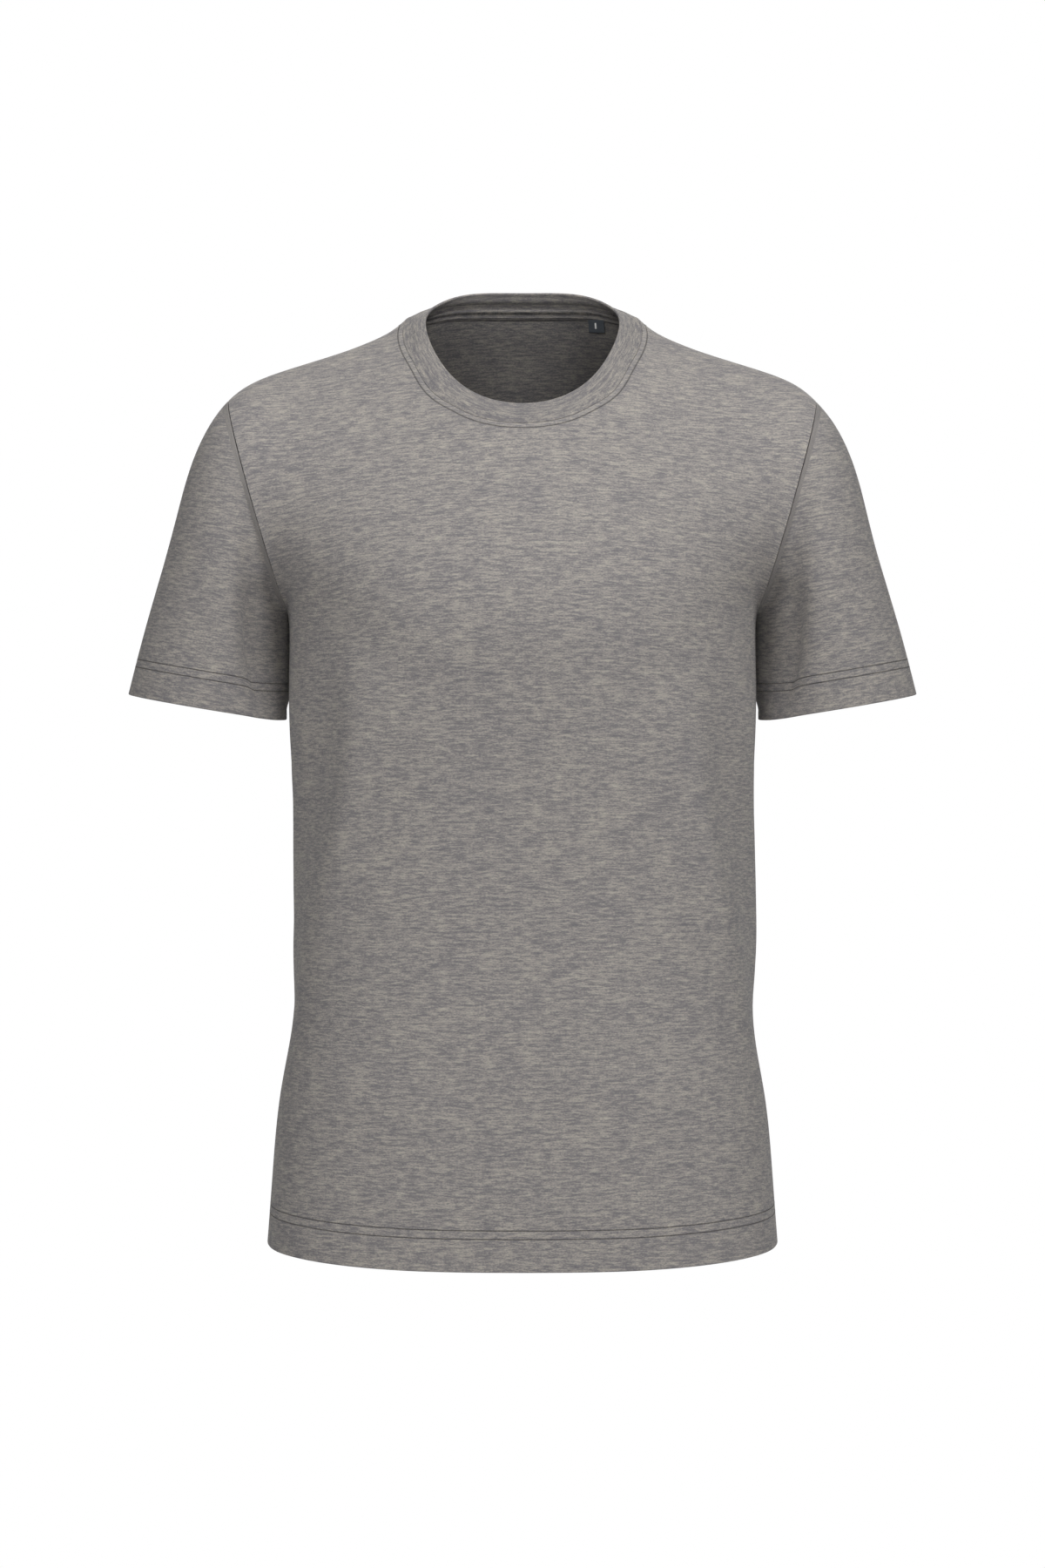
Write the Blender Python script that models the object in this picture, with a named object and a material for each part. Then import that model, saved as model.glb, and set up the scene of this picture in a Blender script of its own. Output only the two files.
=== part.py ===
"""A men's crew neck T-shirt that keeps its worn form with no wearer: seven sewn pieces of cloth.

Metres, +Z up, the front faces -Y and +X is the right-hand side seen from the front. The origin
is the centre of the neck, at the height of the points where the shoulders meet the neck.

The whole shirt is first one cage of quads: rows across the torso, rings down the sleeves and
rings up the neckband, each worked out from the short tables below. The cage is smoothed with a
Subdivision Surface and pressed into its largest folds. It is then cut apart at the seams, and
each piece becomes a closed wall of cloth.
"""

from collections import namedtuple
from math import atan2, cos, degrees, exp, radians, sin

import bmesh
import bpy
from mathutils import Matrix, Vector

# Cloth.
CLOTH_WALL = 0.0012
BAND_WALL = 0.0020  # the neckband is cloth folded double
TAPE_WALL = 0.0008
LABEL_WALL = 0.0006
SEAM_GAP = 0.0003  # between neighbouring pieces
SHARPEST_TURN = -0.5  # cosine of the sharpest turn of an edge that its trim makes up for
LAID_GAP = 0.0016  # between a panel and what is laid on its inside

# Torso, hem to underarm. Depths are measured from the side seams' plane, y = 0.
TorsoRow = namedtuple("TorsoRow", "z half_width front_depth back_depth squareness")
TORSO_ROWS = (
    TorsoRow(-0.7140, 0.1990, 0.130, 0.118, 2.75),
    TorsoRow(-0.6600, 0.1950, 0.127, 0.115, 2.70),
    TorsoRow(-0.5980, 0.1893, 0.123, 0.111, 2.65),
    TorsoRow(-0.5400, 0.1802, 0.120, 0.107, 2.60),
    TorsoRow(-0.4740, 0.1812, 0.118, 0.104, 2.50),
    TorsoRow(-0.4120, 0.1812, 0.119, 0.104, 2.45),
    TorsoRow(-0.3500, 0.1806, 0.122, 0.107, 2.40),
    TorsoRow(-0.2880, 0.1800, 0.127, 0.112, 2.35),
    TorsoRow(-0.2250, 0.1830, 0.130, 0.117, 2.30),
)
HEM_DROP = 0.0072  # how much lower the hem hangs at the centre front than at the side seams
# Turns of the columns from the centre (0) to the side seam (90), in degrees.
COLUMN_TURNS = (0, 10.5, 23, 38, 54, 72, 90)

# Chest and back above the underarm, by the row's height and depth at the centre. The rows
# above these start on the neck seam. fullness: how long a row stays level before it turns in.
ChestRow = namedtuple("ChestRow", "z depth fullness")
CHEST_ROWS = (
    ChestRow(-0.1960, 0.1280, 3.5),
    ChestRow(-0.1590, 0.1180, 2.8),
    ChestRow(-0.1210, 0.1000, 2.4),
)
BACK_ROWS = (
    ChestRow(-0.1830, 0.1200, 3.0),
    ChestRow(-0.1370, 0.1200, 3.0),
    ChestRow(-0.0880, 0.1130, 2.8),
    ChestRow(-0.0350, 0.0950, 2.4),
)
UPPER_FULLNESS = 1.6
SETTLED_ABOVE_Z = -0.24
# Share of a row's width at each column, next to the underarm and along the shoulder seam.
UNDERARM_SHARES = (0, 0.238, 0.450, 0.656, 0.825, 0.943, 1)
SHOULDER_SHARES = (0, 0.196, 0.402, 0.552, 0.704, 0.857, 1)
NECK_COLUMN = 2  # the column that runs up the side of the neck
SHOULDER_ROWS = 6  # rows from the underarm to the shoulder seam
SHOULDER_BOW = 0.0014  # how far the whole shoulder seam bows above a straight line
SHOULDER_CROWN = 0.082  # and its outer half: this, times share^4 (1 - share)
SETTLE_ROUNDS = 3  # how often the upper chest and back are evened out

# Sleeve rings, armhole to hem. Each lies in a plane through an inner and an outer point.
SleeveRing = namedtuple("SleeveRing", "inner_x inner_z outer_x outer_z half_depth")
SLEEVE_RINGS = (
    SleeveRing(0.1830, -0.2250, 0.2300, -0.0580, 0.062),
    SleeveRing(0.1858, -0.2420, 0.2560, -0.1010, 0.066),
    SleeveRing(0.1868, -0.2590, 0.2695, -0.1480, 0.068),
    SleeveRing(0.1872, -0.2760, 0.2830, -0.1960, 0.067),
    SleeveRing(0.1868, -0.2935, 0.2965, -0.2440, 0.066),
    SleeveRing(0.1862, -0.3095, 0.3080, -0.2890, 0.065),
)
RING_COLUMNS = 12
SLEEVE_BACK_LIFT = 0.035  # rise of a sleeve ring towards the back, for each metre of depth

# Neck rings, by their points at the side, the centre front and the centre back.
NeckRing = namedtuple("NeckRing", "half_width side_y side_z front_y front_z back_y back_z")
NECK_SEAM = NeckRing(0.0925, 0.012, -0.0008, -0.0820, -0.0850, 0.0680, 0.0180)
BAND_MIDDLE = NeckRing(0.0850, 0.010, 0.0036, -0.0768, -0.0776, 0.0612, 0.0245)
BAND_TOP = NeckRing(0.0762, 0.008, 0.0064, -0.0700, -0.0700, 0.0530, 0.0318)
FRONT_FALL = 1.32  # how late a neck ring drops on its way to the front
NECK_SQUARENESS = 2.25
FRONT_NECK_TURNS = (0, 23, 46, 69, 90)
BACK_NECK_TURNS = (0, 31, 61, 90)

# Largest folds, as soft troughs (height < 0) or ridges. turn: 0 at the centre front, 90 at the
# right-hand side seam, 180 at the centre back.
Fold = namedtuple("Fold", "turn_from z_from turn_to z_to half_width height")
FOLDS = (
    Fold(-47, -0.262, -84, -0.530, 0.030, -0.0070),
    Fold(-33, -0.290, -70, -0.520, 0.024, 0.0030),
    Fold(50, -0.285, 82, -0.560, 0.026, -0.0060),
    Fold(38, -0.330, 70, -0.550, 0.022, 0.0034),
    Fold(97, -0.380, 94, -0.540, 0.026, 0.0040),
    Fold(126, -0.270, 104, -0.520, 0.032, -0.0050),
    Fold(-122, -0.300, -101, -0.545, 0.030, -0.0055),
    Fold(172, -0.430, 150, -0.600, 0.034, -0.0030),
)
FOLD_METRES_PER_TURN = 0.00265
TYPICAL_HALF_WIDTH = 0.18
TYPICAL_DEPTH = 0.12
FOLD_START = 0.12  # a fold follows half a sine wave, from this share of it to as far from its end

# Trim on the inside of the back neck.
TAPE_WIDTH = 0.0075
LABEL_SIZE = (0.0138, 0.0102)
LABEL_X = 0.0590
LABEL_LEAN = 4  # degrees

# Pieces: the panel numbers mark the faces of the cage.
FRONT, BACK, SLEEVE_RIGHT, SLEEVE_LEFT, BAND = range(5)
PANEL_NAMES = ("front", "back", "sleeve_right", "sleeve_left", "neckband")
HEATHER = (0.226, 0.212, 0.202)
HEATHER_TAPE = (0.205, 0.193, 0.184)
CHARCOAL = (0.054, 0.060, 0.066)


def clear_scene():
    for item in list(bpy.data.objects):
        bpy.data.objects.remove(item)


def cloth_material(name, colour, roughness):
    material = bpy.data.materials.new(name)
    material.use_nodes = True
    shader = material.node_tree.nodes["Principled BSDF"]
    shader.inputs["Base Color"].default_value = (*colour, 1)
    shader.inputs["Roughness"].default_value = roughness
    shader.inputs["Metallic"].default_value = 0
    return material


# ---- rows and rings of the cage ----


def round_off(turn, squareness):
    """Shares of the half width and of the depth at a turn, on a superellipse."""
    power = 2 / squareness
    return abs(sin(radians(turn))) ** power, abs(cos(radians(turn))) ** power


def torso_half(row, depth_sign):
    depth = row.front_depth if depth_sign < 0 else row.back_depth
    half = []
    for turn in COLUMN_TURNS:
        across, deep = round_off(turn, row.squareness)
        half.append(Vector((row.half_width * across, depth_sign * depth * deep, row.z)))
        if row is TORSO_ROWS[0] and depth_sign < 0:
            half[-1].z -= HEM_DROP * deep**3
    return half


def ring_of_sleeve(ring):
    """The right sleeve's ring: from the underarm up the front to the top and down the back."""
    inner = Vector((ring.inner_x, 0, ring.inner_z))
    outer = Vector((ring.outer_x, 0, ring.outer_z))
    points = []
    for column in range(RING_COLUMNS):
        turn = radians(360 * column / RING_COLUMNS)
        point = inner.lerp(outer, (1 - cos(turn)) / 2)
        point.y = -ring.half_depth * sin(turn)
        point.z += SLEEVE_BACK_LIFT * point.y
        points.append(point)
    return points


def neck_point(ring, turn, depth_sign):
    across, deep = round_off(turn, NECK_SQUARENESS)
    end_y, end_z, share = ring.back_y, ring.back_z, deep * deep * (3 - 2 * deep)
    if depth_sign < 0:
        end_y, end_z, share = ring.front_y, ring.front_z, deep**FRONT_FALL
    y = ring.side_y + (end_y - ring.side_y) * deep
    z = ring.side_z + (end_z - ring.side_z) * share
    return Vector((ring.half_width * across, y, z))


def neck_halves(ring):
    front = [neck_point(ring, turn, -1) for turn in FRONT_NECK_TURNS]
    back = [neck_point(ring, turn, 1) for turn in BACK_NECK_TURNS]
    return front, back


def upper_row(start, end, first, row, fullness):
    """Columns from start, at column first, out to end on the armhole."""
    level = row / SHOULDER_ROWS
    shares = [a + (b - a) * level for a, b in zip(UNDERARM_SHARES, SHOULDER_SHARES)]
    points = []
    for column in range(first, len(shares)):
        share = (shares[column] - shares[first]) / (1 - shares[first])
        point = start.lerp(end, share)
        point.y = start.y + (end.y - start.y) * share**fullness
        points.append(point)
    return points


def shoulder_row(start, end):
    points = upper_row(start, end, NECK_COLUMN, SHOULDER_ROWS, 1)
    for point in points:
        share = (point.x - start.x) / (end.x - start.x)
        point.z += SHOULDER_BOW * sin(radians(180 * share)) + SHOULDER_CROWN * share**4 * (1 - share)
    return points


def panel_rows(depth_sign):
    """Half rows of the front (-1) or the back (1), hem to shoulder, with None above the neck."""
    rows = [torso_half(row, depth_sign) for row in TORSO_ROWS]
    armhole = ring_of_sleeve(SLEEVE_RINGS[0])
    edge = armhole if depth_sign < 0 else armhole[:1] + armhole[:0:-1]
    chest = CHEST_ROWS if depth_sign < 0 else BACK_ROWS
    front_neck, back_neck = neck_halves(NECK_SEAM)
    neck = front_neck if depth_sign < 0 else back_neck
    for number, row in enumerate(chest, 1):
        centre = Vector((0, depth_sign * row.depth, row.z))
        rows.append(upper_row(centre, edge[number], 0, number, row.fullness))
    first = len(chest) + 1
    outward = upper_row(neck[NECK_COLUMN], edge[first], NECK_COLUMN, first, UPPER_FULLNESS)
    rows.append(neck[:NECK_COLUMN] + outward)
    for number in range(first + 1, SHOULDER_ROWS):
        start = neck[NECK_COLUMN + number - first]
        outward = upper_row(start, edge[number], NECK_COLUMN, number, UPPER_FULLNESS)
        rows.append([None] * NECK_COLUMN + outward)
    rows.append([None] * NECK_COLUMN + shoulder_row(neck[-1], edge[SHOULDER_ROWS]))
    return rows


def flipped(point):
    return point and Vector((-point.x, point.y, point.z))


def both_halves(half):
    return [flipped(point) for point in reversed(half[1:])] + half


def closed_ring(points):
    return points + points[:1]


def band_ring(ring):
    front, back = neck_halves(ring)
    half = front + back[-2::-1]
    return closed_ring(half + [flipped(point) for point in half[-2:0:-1]])


def add_panel(cage, rows, panel):
    for lower, upper in zip(rows, rows[1:]):
        for column in range(len(lower) - 1):
            corners = (lower[column], lower[column + 1], upper[column + 1], upper[column])
            if None not in corners:
                face = cage.faces.new([cage.verts.new(corner) for corner in corners])
                face.material_index = panel
                face.smooth = True


def shirt_cage():
    cage = bmesh.new()
    add_panel(cage, [both_halves(row) for row in panel_rows(-1)], FRONT)
    add_panel(cage, [both_halves(row) for row in panel_rows(1)], BACK)
    sleeve = [closed_ring(ring_of_sleeve(ring)) for ring in SLEEVE_RINGS]
    add_panel(cage, sleeve, SLEEVE_RIGHT)
    add_panel(cage, [[flipped(point) for point in ring] for ring in sleeve], SLEEVE_LEFT)
    add_panel(cage, [band_ring(ring) for ring in (NECK_SEAM, BAND_MIDDLE, BAND_TOP)], BAND)
    bmesh.ops.remove_doubles(cage, verts=cage.verts, dist=1e-5)
    bmesh.ops.recalc_face_normals(cage, faces=cage.faces)
    return cage


# ---- smoothing, folds ----


def settle(cage):
    """Evens out the chest and back above the underarm, where their rows were only spread."""
    upper = []
    for vert in cage.verts:
        panels = {face.material_index for face in vert.link_faces}
        if vert.co.z > SETTLED_ABOVE_Z and panels in ({FRONT}, {BACK}):
            upper.append(vert)
    every_way = {"use_axis_x": True, "use_axis_y": True, "use_axis_z": True}
    for _ in range(SETTLE_ROUNDS):
        bmesh.ops.smooth_vert(cage, verts=upper, factor=0.5, **every_way)


def smooth_place(vert):
    """Where a Subdivision Surface finally puts this vertex of the cage."""
    if vert.is_boundary:
        ends = [edge.other_vert(vert).co for edge in vert.link_edges if edge.is_boundary]
        return (4 * vert.co + ends[0] + ends[1]) / 6
    count = len(vert.link_edges)
    near = sum((edge.other_vert(vert).co for edge in vert.link_edges), Vector())
    across = (loop.link_loop_next.link_loop_next.vert.co for loop in vert.link_loops)
    return (count * count * vert.co + 4 * near + sum(across, Vector())) / (count * (count + 5))


def push_out(cage, rounds=10):
    """Moves the cage out, so that the smoothed cloth passes through the tables' points."""
    wanted = [vert.co.copy() for vert in cage.verts]
    for _ in range(rounds):
        places = [smooth_place(vert) for vert in cage.verts]
        for vert, want, place in zip(cage.verts, wanted, places):
            vert.co += want - place


def smoothed(cage):
    mesh = bpy.data.meshes.new("shirt_cage")
    cage.to_mesh(mesh)
    helper = bpy.data.objects.new("shirt_cage", mesh)
    bpy.context.scene.collection.objects.link(helper)
    modifier = helper.modifiers.new("Smooth", "SUBSURF")
    modifier.levels = modifier.render_levels = 1
    graph = bpy.context.evaluated_depsgraph_get()
    shirt = bmesh.new()
    shirt.from_mesh(helper.evaluated_get(graph).to_mesh())
    bpy.data.objects.remove(helper)
    return shirt


def fold_height(fold, point):
    turn = degrees(atan2(point.x / TYPICAL_HALF_WIDTH, -point.y / TYPICAL_DEPTH))
    if fold.turn_from < 0 and turn > 90 or fold.turn_from > 0 and turn < -90:
        turn += 360 if turn < 0 else -360
    start = Vector((fold.turn_from * FOLD_METRES_PER_TURN, fold.z_from))
    run = Vector((fold.turn_to * FOLD_METRES_PER_TURN, fold.z_to)) - start
    place = Vector((turn * FOLD_METRES_PER_TURN, point.z)) - start
    along = min(max(place.dot(run) / run.length_squared, 0), 1)
    apart = (place - along * run).length / fold.half_width
    wave = FOLD_START + (1 - 2 * FOLD_START) * along
    return fold.height * exp(-apart * apart) * sin(radians(180 * wave))


def press_folds(shirt):
    shirt.normal_update()
    torso = [
        vert
        for vert in shirt.verts
        if all(face.material_index in (FRONT, BACK) for face in vert.link_faces)
    ]
    moves = [sum(fold_height(fold, vert.co) for fold in FOLDS) * vert.normal for vert in torso]
    for vert, move in zip(torso, moves):
        vert.co += move


# ---- pieces ----


def inward_at(vert, normal):
    """The way into the piece at an edge vertex, square to the shirt's normal there, and as long
    as it must be to leave 1 m to each of the two edges."""
    ways = []
    for edge in vert.link_edges:
        if edge.is_boundary:
            face = edge.link_faces[0]
            run = (edge.verts[1].co - edge.verts[0].co).normalized()
            way = face.normal.cross(run)
            if way.dot(face.calc_center_median() - vert.co) < 0:
                way.negate()
            ways.append((way - way.dot(normal) * normal).normalized())
    return (ways[0] + ways[1]) / (1 + max(ways[0].dot(ways[1]), SHARPEST_TURN))


def cut_out(shirt, panel):
    """A copy of one panel, trimmed by half the seam's gap. Each vertex keeps the shirt's normal."""
    piece = shirt.copy()
    others = [face for face in piece.faces if face.material_index != panel]
    bmesh.ops.delete(piece, geom=others, context="FACES")
    normals = piece.verts.layers.float_vector["shirt_normal"]
    edge_verts = [vert for vert in piece.verts if vert.is_boundary]
    moves = [inward_at(vert, vert[normals]) * (SEAM_GAP / 2) for vert in edge_verts]
    for vert, move in zip(edge_verts, moves):
        vert.co += move
    return piece


def thicken(piece, wall, normals):
    """Adds the inner face and the rims. Both faces run along the whole shirt's normals."""
    outer_faces = list(piece.faces)
    rims = [edge for edge in piece.edges if edge.is_boundary]
    pairs = {}
    for vert in list(piece.verts):
        pairs[vert] = piece.verts.new(vert.co - wall * vert[normals])
    for face in outer_faces:
        piece.faces.new([pairs[vert] for vert in reversed(face.verts)])
    for edge in rims:
        loop = edge.link_loops[0]
        first, second = loop.vert, loop.link_loop_next.vert
        piece.faces.new([second, first, pairs[first], pairs[second]])
    for face in piece.faces:
        face.material_index = 0


def finish(name, shape, material, smooth_angle=radians(40)):
    mesh = bpy.data.meshes.new(name)
    shape.to_mesh(mesh)
    shape.free()
    mesh.materials.append(material)
    mesh.shade_smooth()
    mesh.set_sharp_from_angle(angle=smooth_angle)
    item = bpy.data.objects.new(name, mesh)
    bpy.context.scene.collection.objects.link(item)
    return item


def is_band(edge):
    return any(face.material_index == BAND for face in edge.link_faces)


def tape_stations(shirt, normals):
    """Along the back neck seam, left to right: inner point, the way down the back, normal."""
    stations = []
    for vert in shirt.verts:
        panels = {face.material_index for face in vert.link_faces}
        if not {BACK, BAND} <= panels:
            continue
        ways = [edge.other_vert(vert) for edge in vert.link_edges if not is_band(edge)]
        inner = vert.co - CLOTH_WALL * vert[normals]
        below = sum((other.co - CLOTH_WALL * other[normals] for other in ways), Vector()) / len(ways)
        normal_below = sum((other[normals] for other in ways), Vector()) / len(ways)
        down = below - inner
        stations.append((inner, down, vert[normals], normal_below))
    return sorted(stations, key=lambda station: station[0].x)


def tape_section(station):
    inner, down, normal, normal_below = station
    share = TAPE_WIDTH / down.length
    top = inner + down * (2 * SEAM_GAP / down.length) - LAID_GAP * normal
    turned = normal.lerp(normal_below, share)
    bottom = inner + down * share - LAID_GAP * turned
    return [top, bottom, bottom - TAPE_WALL * turned, top - TAPE_WALL * normal]


def tube_of(sections):
    """A closed bar through sections of four corners."""
    bar = bmesh.new()
    rings = [[bar.verts.new(corner) for corner in section] for section in sections]
    for ring, following in zip(rings, rings[1:]):
        for corner in range(4):
            beside = (corner + 1) % 4
            bar.faces.new([ring[corner], ring[beside], following[beside], following[corner]])
    bar.faces.new(rings[0][::-1])
    bar.faces.new(rings[-1])
    bmesh.ops.recalc_face_normals(bar, faces=bar.faces)
    return bar


def label_plate(sections):
    """A small tab that hangs from under the tape, level with its face."""
    after = next(number for number, section in enumerate(sections) if section[1].x > LABEL_X)
    before, following = sections[after - 1], sections[after]
    share = (LABEL_X - before[1].x) / (following[1].x - before[1].x)
    top, hang = (before[corner].lerp(following[corner], share) for corner in (0, 1))
    across = (following[1] - before[1]).normalized()
    down = (hang - top).normalized()
    normal = across.cross(down).normalized()
    down = normal.cross(across).normalized()
    turn = Matrix((across, -down, -normal)).transposed().to_4x4()
    width, drop = LABEL_SIZE
    middle = hang + down * (drop / 2 + 2 * SEAM_GAP)
    plate = bmesh.new()
    bmesh.ops.create_cube(plate, size=1, matrix=Matrix.Diagonal((width, drop, LABEL_WALL, 1)))
    lean = Matrix.Rotation(radians(LABEL_LEAN), 4, "Z")
    bmesh.ops.transform(plate, matrix=Matrix.Translation(middle) @ turn @ lean, verts=plate.verts)
    bmesh.ops.recalc_face_normals(plate, faces=plate.faces)
    return plate


def build_shirt():
    clear_scene()
    cloth = cloth_material("heather_jersey", HEATHER, 0.9)
    tape_cloth = cloth_material("heather_tape", HEATHER_TAPE, 0.9)
    woven = cloth_material("woven_label", CHARCOAL, 0.7)
    cage = shirt_cage()
    settle(cage)
    push_out(cage)
    shirt = smoothed(cage)
    press_folds(shirt)
    shirt.normal_update()
    normals = shirt.verts.layers.float_vector.new("shirt_normal")
    for vert in shirt.verts:
        vert[normals] = vert.normal
    for panel, name in enumerate(PANEL_NAMES):
        piece = cut_out(shirt, panel)
        layer = piece.verts.layers.float_vector["shirt_normal"]
        thicken(piece, BAND_WALL if panel == BAND else CLOTH_WALL, layer)
        finish(name, piece, cloth)
    sections = [tape_section(station) for station in tape_stations(shirt, normals)]
    finish("neck_tape", tube_of(sections), tape_cloth)
    finish("size_label", label_plate(sections), woven)


build_shirt()
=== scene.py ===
"""A men's crew neck T-shirt in heather jersey, in worn form with no wearer.

The CAD's cloth walls give the form. Their outer sides are sewn into one smooth surface, which is
pressed into its folds and cut apart again at the seams. Each piece becomes thin cloth with soft
rims, turned hems and its own sewing thread. Every piece carries a map of its cut in metres, and
the heather of the jersey lies along the courses of that cut.
"""

from math import pi, radians

import bmesh
import bpy
import numpy as np
from mathutils import Matrix, Vector
from mathutils.bvhtree import BVHTree
from mathutils.kdtree import KDTree


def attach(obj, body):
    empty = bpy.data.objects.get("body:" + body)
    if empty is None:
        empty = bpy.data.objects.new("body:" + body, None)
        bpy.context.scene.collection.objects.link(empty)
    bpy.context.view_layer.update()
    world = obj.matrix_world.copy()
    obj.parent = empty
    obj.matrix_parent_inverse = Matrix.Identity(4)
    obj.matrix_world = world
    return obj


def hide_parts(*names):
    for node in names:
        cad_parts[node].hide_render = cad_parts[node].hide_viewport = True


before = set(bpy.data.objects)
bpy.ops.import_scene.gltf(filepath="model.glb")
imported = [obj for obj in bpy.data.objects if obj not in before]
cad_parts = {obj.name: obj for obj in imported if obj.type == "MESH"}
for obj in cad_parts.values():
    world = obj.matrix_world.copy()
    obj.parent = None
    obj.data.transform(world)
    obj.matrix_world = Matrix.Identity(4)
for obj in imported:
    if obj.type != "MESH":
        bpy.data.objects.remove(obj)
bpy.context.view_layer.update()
bpy.ops.object.select_all(action="DESELECT")

# Panels, in the order of their face numbers, with the way each one faces where it stands out most.
PANELS = ("front", "back", "sleeve_right", "sleeve_left", "neckband")
FRONT, BACK, SLEEVE_RIGHT, SLEEVE_LEFT, BAND = range(5)
TORSO, SLEEVES = {FRONT, BACK}, {SLEEVE_RIGHT, SLEEVE_LEFT}
STANDS_OUT = ((0, -1, 0), (0, 1, 0), (1, 0, 0), (-1, 0, 0), (0, -0.8, 0.6))
HEM_OF = {FRONT: "hem", BACK: "hem", SLEEVE_RIGHT: "cuff_right", SLEEVE_LEFT: "cuff_left"}
UNDERARM_X = 0.200  # the sleeve's own seam runs inside this, at y = 0

# How the CAD's walls are read, in metres.
SAME_POINT = 1e-5
FACES_OUT = 0.7  # the cosine within which a face looks the way its panel stands out
RIM_TURN = radians(60)  # the rims of the walls turn more sharply than this
QUAD_ORDER = 1.5  # how strongly joined triangles keep to even quads
SEAM_SPAN = 0.0015  # how near the seam points of two panels lie to each other
ON_MIDDLE = 0.002  # a vertex this near to the middle line is on it

# Cloth.
CLOTH_WALL = 0.0010
BAND_WALL = 0.0020
HEM_WALL = 0.0020  # the cloth lies double where it is turned up
HEM_ROWS = 5  # rows of faces that the turned-up hem covers
HEM_REACH = 0.0006  # an edge this near to a hem's line is part of it
SEAM_GAP = 0.0001
ARMHOLE_GAP = 0.0005
SHARPEST_TURN = -0.5  # the cosine past which a corner is trimmed no deeper
ROUND_EDGE = 0.0008  # along the hems and the band's fold
SEAM_EDGE = 0.00045

# The neck. The lift and the lean are full at the nape, this far behind the shoulders.
BAND_LENGTH, BAND_WIDTH = 0.530, 0.0200  # the band's cut, along its seam and up from it
EASE_STEPS = (0.50, -0.53)  # each round draws the seam in and lets it out again
EASE_ROUNDS = 30
EASE_REACH = 0.017  # how far from the seam the cloth follows it
EASE_FADE = 1.5  # how fast it follows less, away from the seam
LIFT_DEPTH, BACK_LIFT = 0.050, 0.0060  # the neck's seam sits this much higher across the back
LEAN_DEPTH, FOLD_BACK, FOLD_UP = 0.045, 0.0050, 0.0016  # the band's fold stands further back and up

# Sewing.
HEM_LINES = (0.0245, 0.0308)  # the two rows of needle stitches above a body hem
CUFF_LINES = (0.0225, 0.0285)
NECK_LINE = 0.0042  # one row round the neck, below the band's seam
STITCH_PITCH = 0.0030
STITCH_SIZE = (0.0026, 0.00054, 0.00034)
STITCH_SINK = 0.00004
LINE_SPACING = 0.0005  # between the points of a line that distances are measured to
STITCH_ROWS = (
    ("hem_stitches", "hem", HEM_LINES, TORSO),
    ("cuff_stitches_right", "cuff_right", CUFF_LINES, {SLEEVE_RIGHT}),
    ("cuff_stitches_left", "cuff_left", CUFF_LINES, {SLEEVE_LEFT}),
    ("neck_stitches", "neck", (NECK_LINE,), TORSO),
)

# The tape's section: how far down from the neck seam, and how far in from the cloth's outer side.
TAPE_SECTION = (
    (-0.0004, 0.0016), (-0.0009, 0.0024), (-0.0006, 0.0033), (0.0004, 0.0037), (0.0014, 0.0035),
    (0.0021, 0.0029), (0.0025, 0.0023), (0.0034, 0.0021), (0.0050, 0.0021), (0.0068, 0.0023),
    (0.0076, 0.0021), (0.0078, 0.0016), (0.0073, 0.0012), (0.0040, 0.0012), (0.0016, 0.0012),
)
TAPE_LINE = 0.0068  # a row of stitches, this far below the neck seam, drawn as a groove with a painted shadow line

# The size tab, and the plain bar on it.
SQUARE = 0.01  # the cosine within which two edges stand square to each other
LABEL_LIFT = 0.0045
TAB_WALL, TAB_CURL = 0.00055, 0.0006
BAR_SIZE, BAR_WALL = (0.0014, 0.0048), 0.00020
BAR_PLACE = (-0.0006, 0.0004, 0.00040)  # from the middle of the tab

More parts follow.
